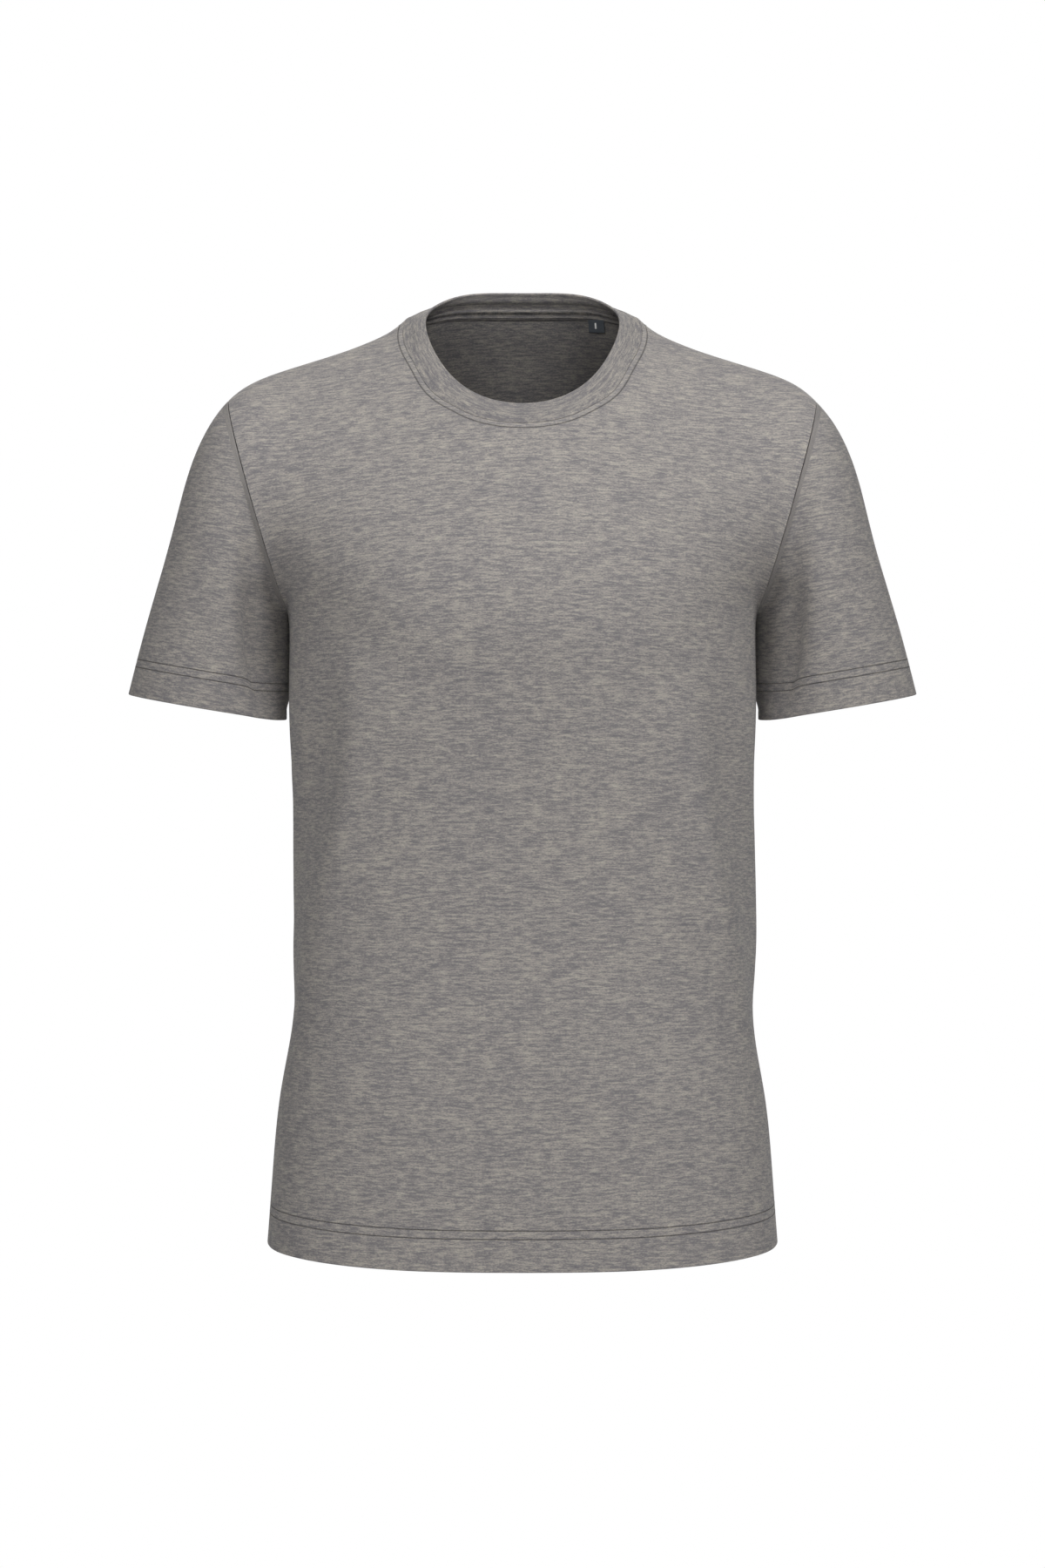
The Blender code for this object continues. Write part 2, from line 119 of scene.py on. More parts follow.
# Folds, by the part they lie on and the way the cloth faces. Each has a half width, a height that
# is below 0 in a trough, and its points: (x, z) on the front and the back, (y, z) on the two sides.
PARTS = {"torso": TORSO, "sleeves": SLEEVES, "sleeve_right": {SLEEVE_RIGHT}, "sleeve_left": {SLEEVE_LEFT}}
FACING = {"front": (0, -1, 0), "back": (0, 1, 0), "right": (1, 0, 0), "left": (-1, 0, 0)}
FULL_FACING = 1.8  # a fold is at its full height until the cloth turns well away
FOLD_ENDS = 0.08  # the share of its swell that a fold leaves off at each end
FOLDS = {
    ("torso", "front"): (
        # a long break from under each arm to the waist, with a trough outside it
        (0.013, 0.0024, (-0.127, -0.262), (-0.128, -0.355), (-0.146, -0.434), (-0.163, -0.513)),
        (0.016, -0.0044, (-0.152, -0.262), (-0.154, -0.360), (-0.168, -0.440), (-0.178, -0.500)),
        (0.009, 0.0030, (0.130, -0.330), (0.139, -0.400), (0.155, -0.470), (0.170, -0.553)),
        (0.014, -0.0040, (0.152, -0.262), (0.156, -0.360), (0.170, -0.450), (0.178, -0.510)),
        # a fuller chest, and slack cloth below it and above the hem
        (0.042, 0.0046, (-0.150, -0.222), (-0.060, -0.238), (0.060, -0.238), (0.150, -0.222)),
        (0.022, -0.0016, (-0.155, -0.215), (-0.110, -0.262), (-0.060, -0.300)),
        (0.020, -0.0014, (0.158, -0.218), (0.118, -0.268), (0.070, -0.312)),
        (0.024, 0.0010, (-0.150, -0.575), (-0.100, -0.600), (-0.040, -0.612)),
        (0.022, 0.0010, (0.160, -0.560), (0.112, -0.592), (0.060, -0.604)),
    ),
    ("sleeves", "front"): (
        # cloth that draws towards the underarm, and turns in beside the body
        (0.012, -0.0036, (0.212, -0.130), (0.206, -0.170), (0.202, -0.205)),
        (0.012, -0.0038, (-0.212, -0.130), (-0.206, -0.170), (-0.202, -0.205)),
        (0.016, -0.0200, (0.203, -0.198), (0.195, -0.250), (0.188, -0.306)),
        (0.016, -0.0200, (-0.203, -0.198), (-0.195, -0.250), (-0.188, -0.306)),
    ),
    ("sleeves", "back"): (
        (0.012, -0.0034, (0.214, -0.135), (0.208, -0.175), (0.203, -0.205)),
        (0.012, -0.0032, (-0.214, -0.140), (-0.208, -0.178), (-0.203, -0.210)),
    ),
    ("torso", "back"): (
        # slack between the shoulder blades and above the waist
        (0.020, -0.0024, (0.120, -0.230), (0.090, -0.330), (0.100, -0.430)),
        (0.022, -0.0026, (-0.126, -0.240), (-0.088, -0.345), (-0.110, -0.470)),
        (0.018, 0.0018, (0.150, -0.410), (0.080, -0.455), (0.010, -0.462)),
        (0.020, -0.0018, (-0.150, -0.440), (-0.070, -0.500), (0.020, -0.520)),
        (0.018, -0.0016, (0.156, -0.490), (0.096, -0.545), (0.040, -0.560)),
    ),
    # the sides of the body, fuller where a sleeve hangs against them
    ("torso", "right"): (
        (0.016, -0.0024, (0.040, -0.270), (0.012, -0.360), (0.030, -0.460)),
        (0.014, 0.0018, (-0.030, -0.420), (0.004, -0.500), (0.040, -0.560)),
        (0.026, 0.0026, (-0.008, -0.235), (-0.012, -0.285), (-0.008, -0.340)),
    ),
    ("torso", "left"): (
        (0.016, -0.0024, (0.030, -0.280), (0.006, -0.370), (0.034, -0.480)),
        (0.014, 0.0018, (-0.034, -0.440), (0.010, -0.520), (0.052, -0.570)),
        (0.026, 0.0026, (-0.008, -0.235), (-0.012, -0.285), (-0.008, -0.340)),
    ),
    ("sleeve_right", "right"): ((0.016, -0.0010, (-0.030, -0.120), (-0.010, -0.180), (-0.020, -0.240)),),
    ("sleeve_left", "left"): ((0.016, -0.0010, (0.026, -0.130), (0.006, -0.190), (0.016, -0.245)),),
    # the inner side of each sleeve, filled out towards the body
    ("sleeve_right", "left"): ((0.026, 0.0146, (0.038, -0.205), (0.036, -0.262), (0.020, -0.302)),),
    ("sleeve_left", "right"): ((0.026, 0.0146, (0.038, -0.205), (0.036, -0.262), (0.020, -0.302)),),
}

# The jersey's yarns, from the darkest melange fibres to the palest.
YARNS = (
    (0.00, (0.150, 0.144, 0.156)),
    (0.34, (0.196, 0.186, 0.190)),
    (0.50, (0.255, 0.240, 0.232)),
    (0.64, (0.320, 0.298, 0.272)),
    (1.00, (0.430, 0.398, 0.346)),
)
# How the yarns mix: scale along the courses and up the wales, detail, roughness, place and weight.
HEATHER = {
    "streaks": ((140, 760), 3, 0.62, (0, 0, 0), 1.45),
    "dashes": ((60, 400), 2, 0.55, (3.1, 1.7, 0), 0.80),
    "patches": ((40, 75), 3, 0.60, (7.3, 4.1, 0), 0.46),
    "clouds": ((12, 18), 2, 0.50, (1.9, 8.3, 0), 0.18),
    "fibres": ((620, 1300), 2, 0.60, (5.5, 2.2, 0), 1.05),
}
WALE, COURSE, KNIT_DEPTH = 0.00085, 0.00070, 0.00003
FLUFF_DEPTH = 0.00022
SLACK, SLACK_PLACE, SLACK_DEPTH = (26, 34), (2.7, 6.1, 0), 0.0009
ROUGHNESS, ROUGH_SPREAD, SHINE = 0.84, 0.10, 0.22
SHEEN, INSIDE_SHEEN, SHEEN_ROUGHNESS = 0.12, 0.05, 0.55
# The groove that a row of stitches draws in the cloth: a dip in the bump, with a painted shadow line along
# it in the colour.
HEM_GROOVE, NECK_GROOVE = 0.0009, 0.0012
GROOVE_DEPTH, GROOVE_PAINTED_SHADOW = 0.0007, 0.80
GROOVE_SHADOW_PAINT = (0.060, 0.056, 0.054)
# How light each piece of jersey is painted beside the body's. The cloth is the same throughout: below 1 is
# painted shade, above 1 is painted light.
SLEEVE_PAINTED_SHADE, BAND_PAINTED_SHADE, TAPE_PAINTED_SHADE = 0.95, 0.87, 0.74
# Painted shade on the reverse of the jersey inside the shirt, and painted light on the inner side of the
# band.
REVERSE_PAINTED_SHADE, BAND_REVERSE_PAINTED_LIGHT = 0.47, 1.25
# The thread: its own slightly darker tone, with painted shade on top of it for the groove it sinks into.
THREAD_AND_SHADE_COLOURS = ((0.3, (0.070, 0.066, 0.064)), (0.7, (0.125, 0.118, 0.114)))
WEFT, WARP = 0.00032, 0.00045
CHARCOAL = ((0.2, (0.040, 0.047, 0.056)), (0.8, (0.078, 0.089, 0.102)))
PALE = ((0.2, (0.74, 0.74, 0.72)), (0.8, (0.92, 0.92, 0.89)))

# The studio.
FLOOR_Z = -1.10
FLOOR_SIZE = 12
FLOOR_PAINT = (0.62, 0.62, 0.62, 1)
AMBIENT = 0.09
LIGHTS = (
    # name, place, what it is aimed at, size and power
    ("key_right", (1.25, -1.7, 1.75), (0, 0, -0.2), (1.2, 0.9), 55),
    ("key_left", (-1.25, -1.7, 1.75), (0, 0, -0.2), (1.2, 0.9), 35),
    ("fill_front", (0.1, -3.0, -0.3), (0, 0, -0.2), (1.2, 1.2), 13),
    ("rim_back", (0.0, 2.6, 1.2), (0, 0, -0.3), (2.0, 1.2), 50),
)
CAMERA_AT = (0, -2.5, -0.359)
VIEW_HEIGHT = 1.224  # metres of the shirt's own plane from the top of the view to its bottom
SENSOR = 36.0


# ---- meshes ----


def new_object(name, shape):
    mesh = bpy.data.meshes.new(name)
    shape.to_mesh(mesh)
    shape.free()
    item = bpy.data.objects.new(name, mesh)
    bpy.context.scene.collection.objects.link(item)
    return item


def only(item):
    bpy.ops.object.select_all(action="DESELECT")
    item.select_set(True)
    bpy.context.view_layer.objects.active = item


def apply_all(item):
    only(item)
    for modifier in list(item.modifiers):
        bpy.ops.object.modifier_apply(modifier=modifier.name)


def take_mesh(item):
    """The mesh of an object that was only a step on the way."""
    shape = bmesh.new()
    shape.from_mesh(item.data)
    bpy.data.objects.remove(item)
    return shape


def panels_of(vert):
    return {face.material_index for face in vert.link_faces}


def flat_area(corners):
    """The area inside a line of flat corners, below 0 where they run clockwise."""
    return sum(a.cross(b) for a, b in zip(corners, corners[1:] + corners[:1])) / 2


def search_tree(points):
    tree = KDTree(len(points))
    for number, point in enumerate(points):
        tree.insert(point, number)
    tree.balance()
    return tree


def dense_line(line):
    """Points close together along a line of vertices."""
    points = []
    for a, b in zip(line, line[1:]):
        steps = max(1, int((b.co - a.co).length / LINE_SPACING))
        points.extend(a.co.lerp(b.co, step / steps) for step in range(steps))
    return points


def chain(edges):
    """The vertices of a closed line of edges, in order from the leftmost and back to it."""
    beside = {}
    for edge in edges:
        for vert in edge.verts:
            beside.setdefault(vert, []).append(edge)
    start = min(beside, key=lambda vert: tuple(vert.co))
    edge = min(beside[start], key=lambda own: tuple(own.other_vert(start).co))
    line = [start]
    while len(line) == 1 or line[-1] is not start:
        vert = edge.other_vert(line[-1])
        line.append(vert)
        edge = next(other for other in beside[vert] if other is not edge)
    return line


def rings_of(edges):
    """Separate rings of edges, the lowest first."""
    left, rings = set(edges), []
    while left:
        ring, reached = set(), [left.pop()]
        while reached:
            edge = reached.pop()
            ring.add(edge)
            for vert in edge.verts:
                beside = [other for other in vert.link_edges if other in left]
                left -= set(beside)
                reached.extend(beside)
        rings.append(ring)
    return sorted(rings, key=lambda ring: sum(edge.verts[0].co.z for edge in ring) / len(ring))


# ---- the sewn surface ----


def outer_side(panel):
    """The outer side alone of a CAD cloth wall, in quads."""
    shape = bmesh.new()
    shape.from_mesh(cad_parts[PANELS[panel]].data)
    bmesh.ops.remove_doubles(shape, verts=shape.verts, dist=SAME_POINT)
    out = Vector(STANDS_OUT[panel])
    facing = [face for face in shape.faces if face.normal.dot(out) > FACES_OUT]
    seed = max(facing, key=lambda face: face.calc_center_median().dot(out))
    kept, reached = {seed}, [seed]
    while reached:
        for edge in reached.pop().edges:
            if edge.calc_face_angle(pi) < RIM_TURN:
                fresh = [face for face in edge.link_faces if face not in kept]
                kept.update(fresh)
                reached.extend(fresh)
    rest = [face for face in shape.faces if face not in kept]
    bmesh.ops.delete(shape, geom=rest, context="FACES")
    bmesh.ops.join_triangles(
        shape,
        faces=shape.faces,
        angle_face_threshold=pi,
        angle_shape_threshold=pi,
        topology_influence=QUAD_ORDER,
    )
    return shape


def lay_flat(shape, panel):
    """Gives a panel the map of its cut, in metres, with the courses of the jersey level."""
    if panel in SLEEVES:
        for edge in shape.edges:
            edge.seam = all(abs(v.co.y) < ON_MIDDLE and abs(v.co.x) < UNDERARM_X for v in edge.verts)
    item = new_object("cut_" + PANELS[panel], shape)
    item.data.uv_layers.new(name="cut")
    only(item)
    bpy.ops.object.mode_set(mode="EDIT")
    bpy.ops.mesh.select_all(action="SELECT")
    bpy.ops.uv.unwrap(method="ANGLE_BASED", margin=0)
    bpy.ops.object.mode_set(mode="OBJECT")
    flat = take_mesh(item)
    cut = flat.loops.layers.uv["cut"]
    if panel in SLEEVES:
        middle = [v for v in flat.verts if abs(v.co.y) < ON_MIDDLE and abs(v.co.x) > UNDERARM_X]
    else:
        middle = [v for v in flat.verts if abs(v.co.x) < ON_MIDDLE]
    middle.sort(key=lambda vert: vert.co.z)
    start, end = (vert.link_loops[0][cut].uv.copy() for vert in (middle[0], middle[-1]))
    worn = sum(face.calc_area() for face in flat.faces)
    mapped = abs(sum(flat_area([loop[cut].uv for loop in face.loops]) for face in flat.faces))
    scale = (worn / mapped) ** 0.5
    up = (end - start).normalized()
    for face in flat.faces:
        for loop in face.loops:
            place = (loop[cut].uv - start) * scale
            loop[cut].uv = (up.y * place.x - up.x * place.y, up.dot(place))
    return flat


def lay_band_flat(shape):
    """The band's cut is a straight strip: along its seam, and up from it."""
    cut = shape.loops.layers.uv.new("cut")
    rings = rings_of([edge for edge in shape.edges if edge.is_boundary])
    seam, fold = (dense_line(chain(ring)) for ring in rings)
    seam_tree, fold_tree = search_tree(seam), search_tree(fold)
    for face in shape.faces:
        spots = []
        for loop in face.loops:
            _, step, from_seam = seam_tree.find(loop.vert.co)
            _, _, from_fold = fold_tree.find(loop.vert.co)
            spots.append((step / len(seam), from_seam / (from_seam + from_fold)))
        runs = [run for run, _ in spots]
        crosses_start = max(runs) - min(runs) > 0.5
        for loop, (run, rise) in zip(face.loops, spots):
            if crosses_start and run < 0.5:
                run += 1
            loop[cut].uv = (run * BAND_LENGTH, rise * BAND_WIDTH)
    return shape


def sewn_shirt():
    """The five pieces as one smooth surface. A face's material index is its panel's number."""
    shirt = bmesh.new()
    for panel in range(len(PANELS)):
        shape = outer_side(panel)
        shape = lay_band_flat(shape) if panel == BAND else lay_flat(shape, panel)
        for face in shape.faces:
            face.material_index = panel
            face.smooth = True
        mesh = bpy.data.meshes.new("panel")
        shape.to_mesh(mesh)
        shape.free()
        shirt.from_mesh(mesh)
        bpy.data.meshes.remove(mesh)
    bmesh.ops.remove_doubles(shirt, verts=shirt.verts, dist=SEAM_SPAN)
    item = new_object("sewn_shirt", shirt)
    smooth = item.modifiers.new("smooth", "SUBSURF")
    smooth.levels = smooth.render_levels = 2
    apply_all(item)
    shirt = take_mesh(item)
    shirt.normal_update()
    return shirt


def line_distance(places, points):
    """How far each place is from a line through the points, and how far along it, from 0 to 1."""
    points = np.array(points)
    runs = np.diff(points, axis=0)
    lengths = np.linalg.norm(runs, axis=1)
    starts = np.concatenate([[0], np.cumsum(lengths)])
    nearest = np.full(len(places), np.inf)
    along = np.zeros(len(places))
    for start, run, length, done in zip(points, runs, lengths, starts):
        share = np.clip((places - start) @ run / length**2, 0, 1)
        apart = np.linalg.norm(places - start - share[:, None] * run, axis=1)
        closer = apart < nearest
        nearest[closer] = apart[closer]
        along[closer] = (done + share * length)[closer] / starts[-1]
    return nearest, along


def press_folds(shirt):
    places = np.array([vert.co for vert in shirt.verts])
    normals = np.array([vert.normal for vert in shirt.verts])
    found = [panels_of(vert) for vert in shirt.verts]
    heights = np.zeros(len(places))
    for (part, side), folds in FOLDS.items():
        inside = np.array([panels <= PARTS[part] for panels in found])
        facing = np.clip(normals @ np.array(FACING[side]) * FULL_FACING, 0, 1)
        across = 0 if side in ("front", "back") else 1
        for half_width, height, *points in folds:
            apart, along = line_distance(places[:, (across, 2)], points)
            swell = np.sin(pi * (FOLD_ENDS + (1 - 2 * FOLD_ENDS) * along))
            profile = np.exp(-((apart / half_width) ** 2))
            heights += inside * facing * height * swell * profile
    for vert, height in zip(shirt.verts, heights):
        vert.co += vert.normal * float(height)
    shirt.normal_update()


def edge_lines(shirt):
    """The free edges and the neck seam, as closed lines of vertices."""
    groups = {"hem": [], "cuff_right": [], "cuff_left": [], "neck": []}
    for edge in shirt.edges:
        panels = {face.material_index for face in edge.link_faces}
        if edge.is_boundary and BAND not in panels:
            groups[HEM_OF[min(panels)]].append(edge)
        elif len(edge.link_faces) == 2 and BAND in panels and panels != {BAND}:
            groups["neck"].append(edge)
    return {name: chain(edges) for name, edges in groups.items()}


def ease_neck(shirt, line):
    """Takes the corners out of the neck's seam and lifts it at the back. The cloth beside it follows."""
    ring = np.array([vert.co for vert in line[:-1]])
    eased = ring.copy()
    for step in EASE_STEPS * EASE_ROUNDS:
        eased += step * ((np.roll(eased, 1, axis=0) + np.roll(eased, -1, axis=0)) / 2 - eased)
    eased[:, 2] += BACK_LIFT * np.clip(eased[:, 1] / LIFT_DEPTH, 0, 1)
    tree = search_tree(ring)
    moves = []
    for vert in shirt.verts:
        nearest = tree.find_n(vert.co, 3)
        apart = nearest[0][2]
        pull, weights = Vector(), 0
        for _, number, distance in nearest:
            weight = 1 / (distance + 1e-6)
            pull += Vector(eased[number] - ring[number]) * weight
            weights += weight
        move = pull / weights * max(0, 1 - apart / EASE_REACH) ** EASE_FADE
        if panels_of(vert) == {BAND}:
            lean = min(1, max(0, vert.co.y / LEAN_DEPTH)) * min(1, apart / BAND_WIDTH)
            move += Vector((0, FOLD_BACK, FOLD_UP)) * lean
        moves.append(move)
    for vert, move in zip(shirt.verts, moves):
        vert.co += move
    shirt.normal_update()


def mark_cloth(shirt, lines):
    """Each vertex keeps its normal, and how far it is from its hem and from the neck seam."""
    normals = shirt.verts.layers.float_vector["shirt_normal"]
    from_hem = shirt.verts.layers.float["from_hem"]
    from_neck = shirt.verts.layers.float["from_neck"]
    trees = {name: search_tree(dense_line(line)) for name, line in lines.items()}
    for vert in shirt.verts:
        hem = HEM_OF.get(min(panels_of(vert)), "hem")
        vert[normals] = vert.normal
        vert[from_hem] = trees[hem].find(vert.co)[2]
        vert[from_neck] = trees["neck"].find(vert.co)[2]


# ---- cloth pieces ----


def inward_at(vert, normal):
    """The way in from a free edge, long enough at a corner to trim both of its sides alike."""
    ways = []
    for edge in vert.link_edges:
        if edge.is_boundary:
            face = edge.link_faces[0]
            run = (edge.verts[1].co - edge.verts[0].co).normalized()
            way = face.normal.cross(run)
            if way.dot(face.calc_center_median() - vert.co) < 0:
                way.negate()
            ways.append((way - way.dot(normal) * normal).normalized())
    return (ways[0] + ways[1]) / (1 + max(ways[0].dot(ways[1]), SHARPEST_TURN))


def cut_out(shirt, panel):
    """A copy of one panel, trimmed by half the seam's gap."""
    piece = shirt.copy()
    armhole = {vert for vert in piece.verts if panels_of(vert) & SLEEVES and panels_of(vert) - SLEEVES}
    others = [face for face in piece.faces if face.material_index != panel]
    bmesh.ops.delete(piece, geom=others, context="FACES")
    normals = piece.verts.layers.float_vector["shirt_normal"]
    trims = []
    for vert in piece.verts:
        if vert.is_boundary:
            gap = ARMHOLE_GAP if vert in armhole else SEAM_GAP
            trims.append((vert, inward_at(vert, vert[normals]) * (gap / 2)))
    for vert, trim in trims:
        vert.co += trim
    return piece


def rows_from(edges, count):
    """The faces of the first rows beside these edges."""
    rows, line = set(), set(edges)
    for _ in range(count):
        fresh = {face for edge in line for face in edge.link_faces} - rows
        rows |= fresh
        line = {edge for face in fresh for edge in face.edges if set(edge.link_faces) - rows}
    return rows


def thicken(piece, wall, turned, rounded):
    """Adds the inner side, as deep as two layers on the turned-up faces, and closes the rims."""
    cut = piece.loops.layers.uv["cut"]
    normals = piece.verts.layers.float_vector["shirt_normal"]
    carried = [piece.verts.layers.float[name] for name in ("from_hem", "from_neck")]
    outer = list(piece.faces)
    rims = [edge for edge in piece.edges if edge.is_boundary]
    inside = [edge for edge in piece.edges if not edge.is_boundary]
    steps = [edge for edge in inside if len(set(edge.link_faces) & turned) == 1]
    uv_of = {(face, loop.vert): loop[cut].uv.copy() for face in outer for loop in face.loops}
    inner, first_uv = {}, {}
    for (_, vert), uv in uv_of.items():
        first_uv.setdefault(vert, uv)

    def below(vert, deep):
        if (vert, deep) not in inner:
            depth = HEM_WALL if deep else wall
            fresh = piece.verts.new(vert.co - depth * vert[normals])
            for layer in carried:
                fresh[layer] = vert[layer]
            inner[vert, deep] = fresh
        return inner[vert, deep]

    def close(corners, face, side):
        """Adds a face. Each corner is a vertex, and the outer vertex whose place in the cut it takes."""
        fresh = piece.faces.new([vert for vert, _ in corners])
        fresh.smooth = True
        fresh.material_index = side
        for loop, (_, partner) in zip(fresh.loops, corners):
            loop[cut].uv = uv_of.get((face, partner), first_uv[partner])

    for face in outer:
        face.material_index = 0
        close([(below(vert, face in turned), vert) for vert in reversed(face.verts)], face, 1)
    for edge in steps:
        a, b = edge.verts
        corners = [(below(a, True), a), (below(b, True), b), (below(b, False), b), (below(a, False), a)]
        close(corners, None, 1)
    for edge in rims:
        face, loop = edge.link_faces[0], edge.link_loops[0]
        first, second = loop.vert, loop.link_loop_next.vert
        deep = face in turned
        corners = [(second, second), (first, first)]
        corners += [(below(first, deep), first), (below(second, deep), second)]
        # where the hem's wall steps, its side takes in the corner of the thinner wall too
        if deep and (first, False) in inner:
            corners.insert(2, (inner[first, False], first))
        if deep and (second, False) in inner:
            corners.append((inner[second, False], second))
        close(corners, face, 0)
    bmesh.ops.recalc_face_normals(piece, faces=piece.faces)
    mark_rims(piece, rims, steps, inner, rounded)


def mark_rims(piece, rims, steps, inner, rounded):
    """Marks how soft the rims get: fully on the edges in rounded, and slightly along the seams."""
    weights = piece.edges.layers.float["bevel_weight_edge"]
    slight = SEAM_EDGE / ROUND_EDGE
    marks = []
    for edge in rims:
        a, b = edge.verts
        weight = 1.0 if edge in rounded else slight
        marks.append((a, b, weight))
        for deep in (True, False):
            if (a, deep) in inner and (b, deep) in inner:
                marks.append((inner[a, deep], inner[b, deep], weight))
    for edge in steps:
        a, b = edge.verts
        marks.append((inner[a, True], inner[b, True], slight))
    for a, b, weight in marks:
        edge = piece.edges.get((a, b))
        if edge:
            edge[weights] = weight


def finish_cloth(name, piece):
    item = new_object(name, piece)
    for side in ("outside", "inside"):
        item.data.materials.append(bpy.data.materials.new(side))
    bevel = item.modifiers.new("soft rims", "BEVEL")
    bevel.width = ROUND_EDGE
    bevel.segments = 3
    bevel.limit_method = "WEIGHT"
    bevel.use_clamp_overlap = False
    even = item.modifiers.new("even shading", "WEIGHTED_NORMAL")
    even.weight = 100
    apply_all(item)
    return item


def make_cloth(shirt):
    """The five pieces of jersey, by their panels' numbers."""
    pieces = {}
    for panel, name in enumerate(PANELS):
        piece = cut_out(shirt, panel)
        rims = [edge for edge in piece.edges if edge.is_boundary]
        if panel == BAND:
            thicken(piece, BAND_WALL, turned=set(), rounded=rings_of(rims)[-1])
        else:
            from_hem = piece.verts.layers.float["from_hem"]
            hem = {edge for edge in rims if all(vert[from_hem] < HEM_REACH for vert in edge.verts)}
            thicken(piece, CLOTH_WALL, turned=rows_from(hem, HEM_ROWS), rounded=hem)
        pieces[panel] = finish_cloth("jersey_" + name, piece)
    return pieces


# ---- sewing thread ----


def one_stitch():
    """One stitch of thread, long in x."""
    bpy.ops.object.select_all(action="DESELECT")
    bpy.ops.mesh.primitive_uv_sphere_add(segments=8, ring_count=4, radius=0.5)
    item = bpy.context.active_object
    bpy.ops.object.mode_set(mode="EDIT")
    bpy.ops.mesh.select_all(action="SELECT")
    bpy.ops.transform.rotate(value=pi / 2, orient_axis="Y", center_override=(0, 0, 0))
    bpy.ops.transform.resize(value=STITCH_SIZE, center_override=(0, 0, 0))
    bpy.ops.object.mode_set(mode="OBJECT")
    mesh = item.data.copy()
    bpy.data.objects.remove(item)
    return mesh


def offset_line(shirt, line, distance, panels):
    """Points beside a closed line of vertices, at a distance from it on the side of these panels."""
    normals = shirt.verts.layers.float_vector["shirt_normal"]
    points = []
    for before, vert, after in zip(line[-1:] + line, line, line[1:] + line[:1]):
        side = (after.co - before.co).cross(vert[normals]).normalized()
        ways = [
            edge.other_vert(vert).co - vert.co
            for edge in vert.link_edges
            if all(face.material_index in panels for face in edge.link_faces)
            and edge.other_vert(vert) not in (before, after)
        ]
        if side.dot(sum(ways, Vector())) < 0:
            side.negate()
        points.append(vert.co + side * distance)
    return points


def sew_line(row, stitch, points, cloth):
    """Adds stitches to row along a closed line, laid on the cloth."""
    line = [cloth.find_nearest(point)[:2] for point in points]
    line.append(line[0])
    lengths = [0]
    for (a, _), (b, _) in zip(line, line[1:]):
        lengths.append(lengths[-1] + (b - a).length)
    count = round(lengths[-1] / STITCH_PITCH)
    pitch = lengths[-1] / count
    segment = 0
    for number in range(count):
        reach = (number + 0.5) * pitch
        while lengths[segment + 1] < reach:
            segment += 1
        share = (reach - lengths[segment]) / (lengths[segment + 1] - lengths[segment])
        (a, normal_a), (b, normal_b) = line[segment], line[segment + 1]
        normal = normal_a.lerp(normal_b, share).normalized()
        along = (b - a).normalized()
        side = normal.cross(along).normalized()
        along = side.cross(normal)
        turn = Matrix((along, side, normal)).transposed().to_4x4()
        place = Matrix.Translation(a.lerp(b, share) - normal * STITCH_SINK) @ turn
        start = len(row.verts)
        row.from_mesh(stitch)
        row.verts.ensure_lookup_table()
        bmesh.ops.transform(row, matrix=place, verts=row.verts[start:])


def sew(shirt, lines):
    """The rows of needle stitches on the hems and round the neck, one object for each."""
    cloth = BVHTree.FromBMesh(shirt)
    stitch = one_stitch()
    rows = {}
    for name, line, distances, panels in STITCH_ROWS:
        row = bmesh.new()
        for distance in distances:
            sew_line(row, stitch, offset_line(shirt, lines[line][:-1], distance, panels), cloth)
        for face in row.faces:
            face.smooth = True
        rows[name] = new_object(name, row)
    bpy.data.meshes.remove(stitch)
    return rows


# ---- inside the back neck ----


def seam_stations(shirt):
    """Places along the back neck seam, from left to right, with the way down the cloth and out of it."""
    normals = shirt.verts.layers.float_vector["shirt_normal"]
    stations = []
    for vert in shirt.verts:
        if not {BACK, BAND} <= panels_of(vert):
            continue
        ways = [
            edge.other_vert(vert).co - vert.co
            for edge in vert.link_edges
            if {face.material_index for face in edge.link_faces} == {BACK}
        ]
        if ways:
            down, normal = sum(ways, Vector()), vert[normals]
            down = (down - down.dot(normal) * normal).normalized()
            stations.append((vert.co.copy(), down, normal))
    return sorted(stations, key=lambda station: station[0].x)


def make_tape(shirt):
    """A folded strip of the same jersey that covers the back neck seam, with a rolled upper edge."""
    stations = seam_stations(shirt)
    reach = [0]
    for (a, _, _), (b, _, _) in zip(stations, stations[1:]):
        reach.append(reach[-1] + (b - a).length)
    tape = bmesh.new()
    cut = tape.loops.layers.uv.new("cut")
    from_seam = tape.verts.layers.float.new("from_neck")
    rings = []
    for place, down, normal in stations:
        ring = [tape.verts.new(place + down * drop - normal * depth) for drop, depth in TAPE_SECTION]
        for vert, (drop, _) in zip(ring, TAPE_SECTION):
            vert[from_seam] = drop
        rings.append(ring)
    for number in range(len(rings) - 1):
        for corner in range(len(TAPE_SECTION)):
            beside = (corner + 1) % len(TAPE_SECTION)
            spots = ((number, corner), (number, beside), (number + 1, beside), (number + 1, corner))
            face = tape.faces.new([rings[station][spot] for station, spot in spots])
            for loop, (station, spot) in zip(face.loops, spots):
                loop[cut].uv = (reach[station], sum(TAPE_SECTION[spot]))
    tape.faces.new(rings[0][::-1])
    tape.faces.new(rings[-1])
    bmesh.ops.recalc_face_normals(tape, faces=tape.faces)
    for face in tape.faces:
        face.smooth = len(face.verts) == 4
    return new_object("neck_tape_strip", tape)


